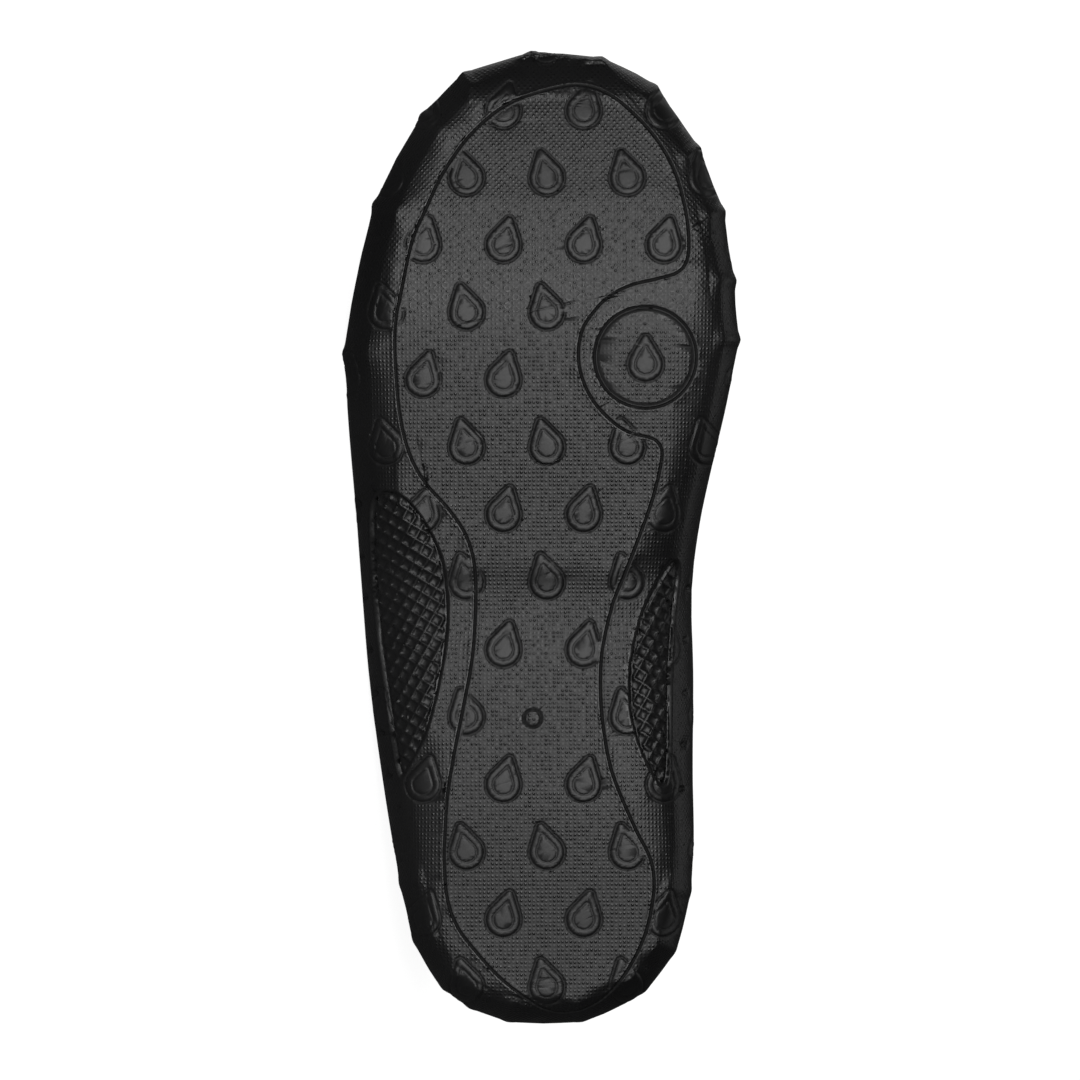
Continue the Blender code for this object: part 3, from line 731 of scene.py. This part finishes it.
# tone is darkened by the "line" mark: painted shade in the grooves and pad outlines
tone = (patchy.between(0.3, 0.7) * 0.5 + fine * 0.5) * (1.0 - line)
dull = patchy * 0.1 + 0.42 - height * 0.24 - plain * 0.03 + line * 0.4
rubber.shade(
    Base_Color=rubber.mix(tone, RUBBER_DARK, RUBBER_LIGHT),
    Roughness=dull - rubber.kept("shine") * 0.16,
    specular=0.30,
    Normal=rubber.bumped(height, WEAVE_HEIGHT),
)
outsole.data.materials.append(rubber.material)
outsole.data.shade_smooth()
outsole.data.transform(LYING)
places = read(outsole.data.vertices, "co", 3)
places[:, 2] = np.maximum(places[:, 2], 0.0)
outsole.data.vertices.foreach_set("co", places.ravel())
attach(outsole, "root")
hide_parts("outsole")


# Upper
# A slip-on sock of stretch knit over thin foam: a front and two quarters, joined by flat seams at both
# sides and at the heel, covered with zigzag stitches. Its lower edge is glued inside the outsole's wall.
KNIT_FINENESS = 2.4
SEAM_FINENESS = 0.75
SEAM_HALF = 2.1
SEAM_EDGE = 0.7
SEAM_RISE = 0.45
SEAM_LINE_DEPTH = 0.35
SEAM_LINE_WIDTH = 0.5
SEAM_SIDES = (
    # along and height on one side, from the collar down to the rim
    (91, 60), (98, 51), (108, 41), (119, 32), (131, 24), (140, 19),
)
SEAM_BACK = (73, 64, 55, 46, 37, 29, 23)
SEAM_BACK_ASIDE = -0.6
CREASES = (
    # the plane it lies in, its side, points along and across or along and height, depth and width
    ("top", 0, ((158, -44), (166, -24), (168, 0), (165, 22), (158, 42)), 0.9, 3.4),
    ("top", 0, ((143, -42), (150, -22), (152, 2), (148, 24), (141, 38)), 0.7, 3.0),
    ("top", 0, ((176, -40), (183, -18), (184, 4), (181, 20)), 0.45, 2.8),
    ("side", -1, ((66, 50), (78, 42), (88, 31), (94, 24)), 0.8, 3.2),
    ("side", -1, ((40, 44), (54, 38), (66, 28)), 0.6, 3.0),
    ("side", 1, ((60, 52), (74, 45), (86, 34), (96, 26)), 0.8, 3.4),
    ("side", 1, ((34, 42), (48, 37), (62, 27)), 0.5, 3.0),
)


def run_lengths(points):
    """The length run along a line at each of its points."""
    return np.concatenate([[0.0], np.cumsum(np.linalg.norm(np.diff(points, axis=0), axis=1))])


def at_marks(points, marks):
    """Points of a line at some lengths along it."""
    lengths = run_lengths(points)
    return np.column_stack([np.interp(marks, lengths, column) for column in points.T])


def run_through(points, step=0.4):
    """Close points along an open line of straight runs, its corners rounded."""
    points = np.array(points, float)
    line = at_marks(points, np.arange(0.0, run_lengths(points)[-1], step))
    for _ in range(30):
        line[1:-1] = (line[:-2] + 2 * line[1:-1] + line[2:]) / 4
    return line


def nearest_on(line, places):
    """Distance of each place from a line of points."""
    best = np.full(len(places), FAR)
    for point in line:
        best = np.minimum(best, np.linalg.norm(places - point, axis=1))
    return best


upper = copy_of("upper", "knit_upper")
skin = BVHTree.FromObject(upper, bpy.context.evaluated_depsgraph_get())


def on_skin(start, direction):
    """Where a straight line first meets the upper, and the skin's direction there."""
    place, normal = skin.ray_cast(Vector(start) * MM, Vector(direction))[:2]
    return place, normal


seams = []
for side in (-1, 1):
    line = run_through(SEAM_SIDES)
    seams.append([on_skin((x, side * 120, z), (0, -side, 0)) for x, z in line])
heights = run_through([(z, 0) for z in SEAM_BACK])[:, 0]
seams.append([on_skin((-60, SEAM_BACK_ASIDE, z), (1, 0, 0)) for z in heights])
seam_points = np.array([place for seam in seams for place, _ in seam]) / MM


def knit_length(places, normals):
    """Wished edge length on the upper: fine along the seams."""
    gap = nearest_on(seam_points[::3], places / MM)
    return np.where(gap < SEAM_HALF + 2.0, SEAM_FINENESS, KNIT_FINENESS) * MM


HEART_ENDS = (0.04, 0.19)
HEART_HEIGHT = 0.025
RIDGE_AWAY = 1.7
RIDGE_SHARE = 0.45
FADE_TO_TOP = (0.020, 0.030)
FADE_TO_SIDE = (0.0, 0.012)
FADE_FROM_RIM = (0.016, 0.024)
refine(upper, knit_length, 5, 1.0)
places = read(upper.data.vertices, "co", 3)
normals = read(upper.data.vertices, "normal", 3)
heart = np.zeros(places.shape)
heart[:, 0] = np.clip(places[:, 0], *HEART_ENDS)
heart[:, 2] = HEART_HEIGHT
outward = np.sign((normals * (places - heart)).sum(axis=1))
rise = np.zeros(len(places))
for plane, side, points, depth, width in CREASES:
    if plane == "top":
        columns = (0, 1)
        facing = soft(places[:, 2], *FADE_TO_TOP)
    else:
        columns = (0, 2)
        facing = soft(side * places[:, 1], *FADE_TO_SIDE)
    gap = nearest_on(run_through(points, 1.5), places[:, columns] / MM)
    ridge = RIDGE_SHARE * depth * bump(gap - RIDGE_AWAY * width, width)
    rise += facing * (ridge - depth * bump(gap, width))
    rise *= soft(places[:, 2], *FADE_FROM_RIM)
seam_gap = nearest_on(seam_points[::2], places / MM)
band = soft(-seam_gap, -SEAM_HALF, -SEAM_HALF + SEAM_EDGE) * (outward > 0)
rise += band * SEAM_RISE - SEAM_LINE_DEPTH * bump(seam_gap, SEAM_LINE_WIDTH) * (outward > 0)
places += normals * (outward * rise)[:, None] * MM
upper.data.vertices.foreach_set("co", places.ravel())
keep_on(upper, "seam", band)
crown_bins = np.arange(-0.02, 0.28, 0.01)
tops = [places[abs(places[:, 0] - middle) < 0.008, 2].max(initial=0.0) for middle in crown_bins]
lay_out(upper, np.interp(places[:, 0], crown_bins, tops) - places[:, 2])

# The knit: rows of loops like the letter V between fine furrows, a little fuzzy and unevenly faded
KNIT_DARK = (0.010, 0.010, 0.011, 1)
KNIT_LIGHT = (0.052, 0.053, 0.058, 1)
KNIT_HEIGHT = 0.30
WALE = 1.5
COURSE = 1.1
LOOP_LEAN = 1.4
knit = Finish("stretch_knit")
u, v = knit.cut()
wale = (v * (100 / WALE)).math("FRACT") - 0.5
loops = ((u * (100 / COURSE) + wale.size() * LOOP_LEAN) * (2 * math.pi)).wave()
rib = 1.0 - wale.size().between(0.38, 0.5)
fuzz = knit.noise(900.0, 3.0)
faded = knit.noise(9.0, 2.0).between(0.35, 0.65)
surface = loops * rib * (1.0 - knit.kept("seam") * 0.8) + fuzz * 0.3
knit.shade(
    Base_Color=knit.mix(surface * 0.6 + faded * 0.25, KNIT_DARK, KNIT_LIGHT),
    Roughness=fuzz * 0.1 + 0.84,
    specular=0.25,
    sheen=0.12,
    Normal=knit.bumped(surface, KNIT_HEIGHT),
)


def finish(piece, material, slot, *nodes):
    """Gives a standing piece its material, lays it on its side, and ties it to the frame."""
    piece.data.materials.append(material)
    piece.data.shade_smooth()
    piece.data.transform(LYING)
    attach(piece, "root")
    if nodes:
        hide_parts(*nodes)


STITCH_BOW = 0.6


def stitch_row(name, spots, length, thick):
    """One mesh of like stitches. A spot is a stitch's middle, its direction and the way out."""
    bpy.ops.object.select_all(action="DESELECT")
    bpy.ops.mesh.primitive_uv_sphere_add(segments=6, ring_count=5, radius=0.5)
    pattern = bpy.context.object
    bpy.ops.object.mode_set(mode="EDIT")
    bpy.ops.mesh.select_all(action="SELECT")
    bpy.ops.transform.rotate(value=math.pi / 2, orient_axis="Y", center_override=(0, 0, 0))
    bpy.ops.transform.resize(value=(length * MM, thick * MM, thick * MM))
    bpy.ops.object.mode_set(mode="OBJECT")
    shape = read(pattern.data.vertices, "co", 3)
    shape[:, 2] -= STITCH_BOW * thick * MM * (2 * shape[:, 0] / (length * MM)) ** 2
    faces = [tuple(face.vertices) for face in pattern.data.polygons]
    bpy.data.objects.remove(pattern)
    vertices = []
    polygons = []
    for middle, forward, out in spots:
        forward = forward.normalized()
        aside = out.cross(forward).normalized()
        turn = np.array((forward, aside, forward.cross(aside)))
        polygons += [tuple(index + len(vertices) for index in face) for face in faces]
        vertices += (shape @ turn + np.array(middle)).tolist()
    data = bpy.data.meshes.new(name)
    data.from_pydata(vertices, [], polygons)
    piece = bpy.data.objects.new(name, data)
    bpy.context.scene.collection.objects.link(piece)
    return piece


THREAD_DARK = (0.018, 0.018, 0.020, 1)
THREAD_LIGHT = (0.055, 0.056, 0.060, 1)
THREAD_HEIGHT = 0.08
thread = Finish("stitching_thread")
strand = (thread.noise(2600.0, 1.0) - 0.5) * 0.5 + 0.5
thread.shade(
    Base_Color=thread.mix(strand, THREAD_DARK, THREAD_LIGHT),
    Roughness=strand * 0.2 + 0.6,
    specular=0.3,
    Normal=thread.bumped(strand, THREAD_HEIGHT),
)

ZIGZAG_STEP = 4
ZIGZAG_LEAN = 0.55
ZIGZAG_LENGTH = 3.6
ZIGZAG_THICK = 0.42
ZIGZAG_LIFT = 0.12
spots = []
for seam in seams:
    for index in range(2, len(seam) - ZIGZAG_STEP, ZIGZAG_STEP):
        place, out = seam[index]
        run = (seam[index + 1][0] - seam[index - 1][0]).normalized()
        aside = out.cross(run).normalized()
        lean = ZIGZAG_LEAN if (index // ZIGZAG_STEP) % 2 else -ZIGZAG_LEAN
        middle = place + out * (SEAM_RISE + ZIGZAG_LIFT) * MM
        spots.append((middle, (aside + run * lean).normalized(), out))
seam_stitches = stitch_row("seam_stitches", spots, ZIGZAG_LENGTH, ZIGZAG_THICK)
finish(seam_stitches, thread.material, "knit")
finish(upper, knit.material, "knit", "upper")


# Collar binding
# A ribbed elastic tape, folded over the edge of the collar and sewn down with one row of stitches.
RIM_TURN = math.radians(60)
RIM_ABOVE = 0.045
collar_mesh = bmesh.new()
collar_mesh.from_mesh(frame["nodes"]["upper"].data)
collar_mesh.transform(LYING.inverted())
bmesh.ops.remove_doubles(collar_mesh, verts=collar_mesh.verts, dist=MERGE_WITHIN)
rims = {}
for edge in collar_mesh.edges:
    if edge.calc_face_angle(0) > RIM_TURN and edge.verts[0].co.z > RIM_ABOVE:
        for first, second in (edge.verts, tuple(reversed(edge.verts))):
            rims.setdefault(first, []).append(second)
rim_lines = []
left = dict.fromkeys(rims)
while left:
    here = next(iter(left))
    line = []
    while here is not None:
        left.pop(here)
        line.append(here.co)
        here = next((vertex for vertex in rims[here] if vertex in left), None)
    rim_lines.append(np.array(line + line[:1]))
rim_lines.sort(key=lambda line: -run_lengths(line)[-1])
outer_rim, inner_rim = rim_lines[:2]
collar_mesh.free()

TAPE_FINENESS = 1.3
tape = copy_of("collar_binding", "collar_tape")
refine(tape, lambda places, normals: np.full(len(places), TAPE_FINENESS * MM), 4, 0.6)
places = read(tape.data.vertices, "co", 3)
dense = np.arange(0.0, run_lengths(outer_rim)[-1], 0.4 * MM)
gaps = np.full(len(places), FAR)
marks = np.zeros(len(places))
for mark, point in zip(dense, at_marks(outer_rim, dense)):
    gap = np.linalg.norm(places - point, axis=1)
    nearer = gap < gaps
    gaps[nearer] = gap[nearer]
    marks[nearer] = mark
keep_on(tape, "round", marks / MM)
keep_on(tape, "down", gaps / MM)

TAPE_HALF = 1.6
STITCH_DOWN = 5.4
STITCH_STEP = 3.2
STITCH_LENGTH = 2.3
STITCH_THICK = 0.45
STITCH_LIFT = 0.05
tape_skin = BVHTree.FromObject(tape, bpy.context.evaluated_depsgraph_get())
spots = []
for rim, other in ((outer_rim, inner_rim), (inner_rim, outer_rim)):
    whole = run_lengths(rim)[-1]
    for mark in np.arange(0.0, whole, STITCH_STEP * MM):
        here, ahead = at_marks(rim, np.array((mark, mark + 0.5 * MM)) % whole)
        beyond = other[np.linalg.norm(other - here, axis=1).argmin()]
        across_wall = Vector(here) - Vector(beyond)
        run = (Vector(ahead) - Vector(here)).normalized()
        out = (across_wall - run * across_wall.dot(run)).normalized()
        down = out.cross(run)
        down = down if down.z < 0 else -down
        reach = Vector(here) + down * STITCH_DOWN * MM + out * TAPE_HALF * MM
        place, normal = tape_skin.find_nearest(reach)[:2]
        spots.append((place + normal * STITCH_LIFT * MM, run, normal))
tape_stitches = stitch_row("tape_stitches", spots, STITCH_LENGTH, STITCH_THICK)
finish(tape_stitches, thread.material, "tape")

TAPE_DARK = (0.006, 0.006, 0.0065, 1)
TAPE_LIGHT = (0.026, 0.026, 0.029, 1)
TAPE_HEIGHT = 0.18
TAPE_RIB_PITCH = 1.1
TAPE_CORD_PITCH = 0.8
elastic = Finish("ribbed_tape")
ribs = (elastic.kept("down") * (2 * math.pi / TAPE_RIB_PITCH)).wave()
cords = (elastic.kept("round") * (2 * math.pi / TAPE_CORD_PITCH)).wave()
web = ribs * 0.65 + cords * 0.35
dust = elastic.noise(700.0, 2.0)
elastic.shade(
    Base_Color=elastic.mix(web * 0.7 + dust * 0.3, TAPE_DARK, TAPE_LIGHT),
    Roughness=dust * 0.15 + 0.7,
    specular=0.3,
    Normal=elastic.bumped(web, TAPE_HEIGHT),
)
finish(tape, elastic.material, "tape", "collar_binding")


# Insole
# A loose footbed of brushed fabric on soft foam, a little dished under the heel and the ball.
FOOTBED_FINENESS = 2.2
FOOTBED_TOP = (0.6, 0.95)
DISHES = (
    # middle along and across, half length, half width and depth, under the heel, the ball and the toes
    (38, 0, 26, 18, 0.5), (168, 2, 26, 30, 0.4), (214, 20, 10, 11, 0.3),
)
footbed = copy_of("insole", "footbed")
refine(footbed, lambda places, normals: np.full(len(places), FOOTBED_FINENESS * MM), 6, 0.4)
places = read(footbed.data.vertices, "co", 3)
normals = read(footbed.data.vertices, "normal", 3)
top = soft(normals[:, 2], *FOOTBED_TOP)
for x, y, long, wide, depth in DISHES:
    reach = np.hypot((places[:, 0] / MM - x) / long, (places[:, 1] / MM - y) / wide)
    places[:, 2] -= top * depth * soft(-reach, -1.3, -0.2) * MM
footbed.data.vertices.foreach_set("co", places.ravel())
lay_out(footbed, np.zeros(len(places)))

FABRIC_DARK = (0.055, 0.056, 0.060, 1)
FABRIC_LIGHT = (0.150, 0.152, 0.160, 1)
FABRIC_HEIGHT = 0.25
GRID_PITCH = 1.2
brushed = Finish("brushed_footbed")
u, v = brushed.cut()
turn = 2 * math.pi * 100 / GRID_PITCH
grid = (u * turn).sine() * (v * turn).sine() * 0.5 + 0.5
nap = brushed.noise(1100.0, 3.0)
worn = brushed.noise(25.0, 3.0).between(0.35, 0.65)
brushed.shade(
    Base_Color=brushed.mix(nap * 0.5 + grid * 0.2 + worn * 0.3, FABRIC_DARK, FABRIC_LIGHT),
    Roughness=nap * 0.1 + 0.85,
    sheen=0.15,
    Normal=brushed.bumped(grid * 0.5 + nap * 0.5, FABRIC_HEIGHT),
)
finish(footbed, brushed.material, "footbed", "insole")


# Floor, light and camera
# A pale floor that runs up into a backdrop. The camera looks straight at the tread with the toe up, as
# the photograph does. A soft light near it gives the rubber its grey, one beyond the toe lights the
# flanks, and one above lights the upper. The floor isn't seen in reflections, so the flanks stay dark.
FLOOR_SIZE = 6.0
BACKDROP_HEIGHT = 4.0
BACKDROP_BEND = 1.5
PAPER = (0.35, 0.35, 0.35, 1)
PAPER_GLOW = 0.92
bpy.ops.object.select_all(action="DESELECT")
bpy.ops.mesh.primitive_plane_add(size=FLOOR_SIZE, location=(0, 1.0, 0))
floor = bpy.context.object
floor.name = "floor"
bpy.ops.object.mode_set(mode="EDIT")
bpy.ops.mesh.select_all(action="DESELECT")
bpy.ops.object.mode_set(mode="OBJECT")
for edge in floor.data.edges:
    edge.select = all(floor.data.vertices[index].co.y > 0 for index in edge.vertices)
bpy.context.tool_settings.mesh_select_mode = (False, True, False)
bpy.ops.object.mode_set(mode="EDIT")
bpy.ops.mesh.extrude_region_move(TRANSFORM_OT_translate={"value": (0, 0, BACKDROP_HEIGHT)})
bpy.ops.object.mode_set(mode="OBJECT")
bend = floor.modifiers.new("sweep", "BEVEL")
bend.width = BACKDROP_BEND
bend.segments = 12
bpy.ops.object.modifier_apply(modifier=bend.name)
floor.data.shade_smooth()
paper = Finish("backdrop_paper")
paper.shade(
    Base_Color=PAPER, Roughness=0.9,
    Emission_Color=(1, 1, 1, 1), Emission_Strength=PAPER_GLOW,
)
floor.data.materials.append(paper.material)
floor.visible_glossy = False

TREAD_MIDDLE = (123.7 * MM, -1.3 * MM, 0.0)
CAMERA_AWAY = 2.50
FRAME_WIDE = 0.2753
FILM_WIDE = 36
WORLD_GLOW = 0.05
centre = LYING @ Vector(TREAD_MIDDLE)


def soft_box(name, away, size, watts):
    """An area light at a place from the middle of the tread, in the shoe's own directions."""
    data = bpy.data.lights.new(name, "AREA")
    data.shape = "RECTANGLE"
    data.size, data.size_y = size
    data.energy = watts
    light = bpy.data.objects.new(name, data)
    bpy.context.scene.collection.objects.link(light)
    light.location = centre + LYING.to_3x3() @ Vector(away)
    light.rotation_euler = (centre - light.location).to_track_quat("-Z", "Y").to_euler()


soft_box("front_soft_box", (0.24, 0.08, -1.5), (1.0, 0.5), 17)
soft_box("back_soft_box", (1.3, 0.35, 1.4), (1.8, 1.8), 7)
soft_box("upper_soft_box", (0.1, 1.6, 0.2), (1.4, 0.8), 3.5)

world = bpy.data.worlds.new("studio")
bpy.context.scene.world = world
world.use_nodes = True
background = world.node_tree.nodes["Background"]
background.inputs["Color"].default_value = (1, 1, 1, 1)
background.inputs["Strength"].default_value = WORLD_GLOW
bpy.context.scene.view_settings.view_transform = "Standard"

camera = bpy.data.cameras.new("camera")
camera.sensor_width = FILM_WIDE
camera.lens = FILM_WIDE * CAMERA_AWAY / FRAME_WIDE
camera.clip_start = 0.01
eye = bpy.data.objects.new("camera", camera)
bpy.context.scene.collection.objects.link(eye)
aim = Matrix((shoe_inner, shoe_toe, shoe_inner.cross(shoe_toe))).transposed()
eye.matrix_world = Matrix.Translation(centre - shoe_up * CAMERA_AWAY) @ aim.to_4x4()
bpy.context.scene.camera = eye
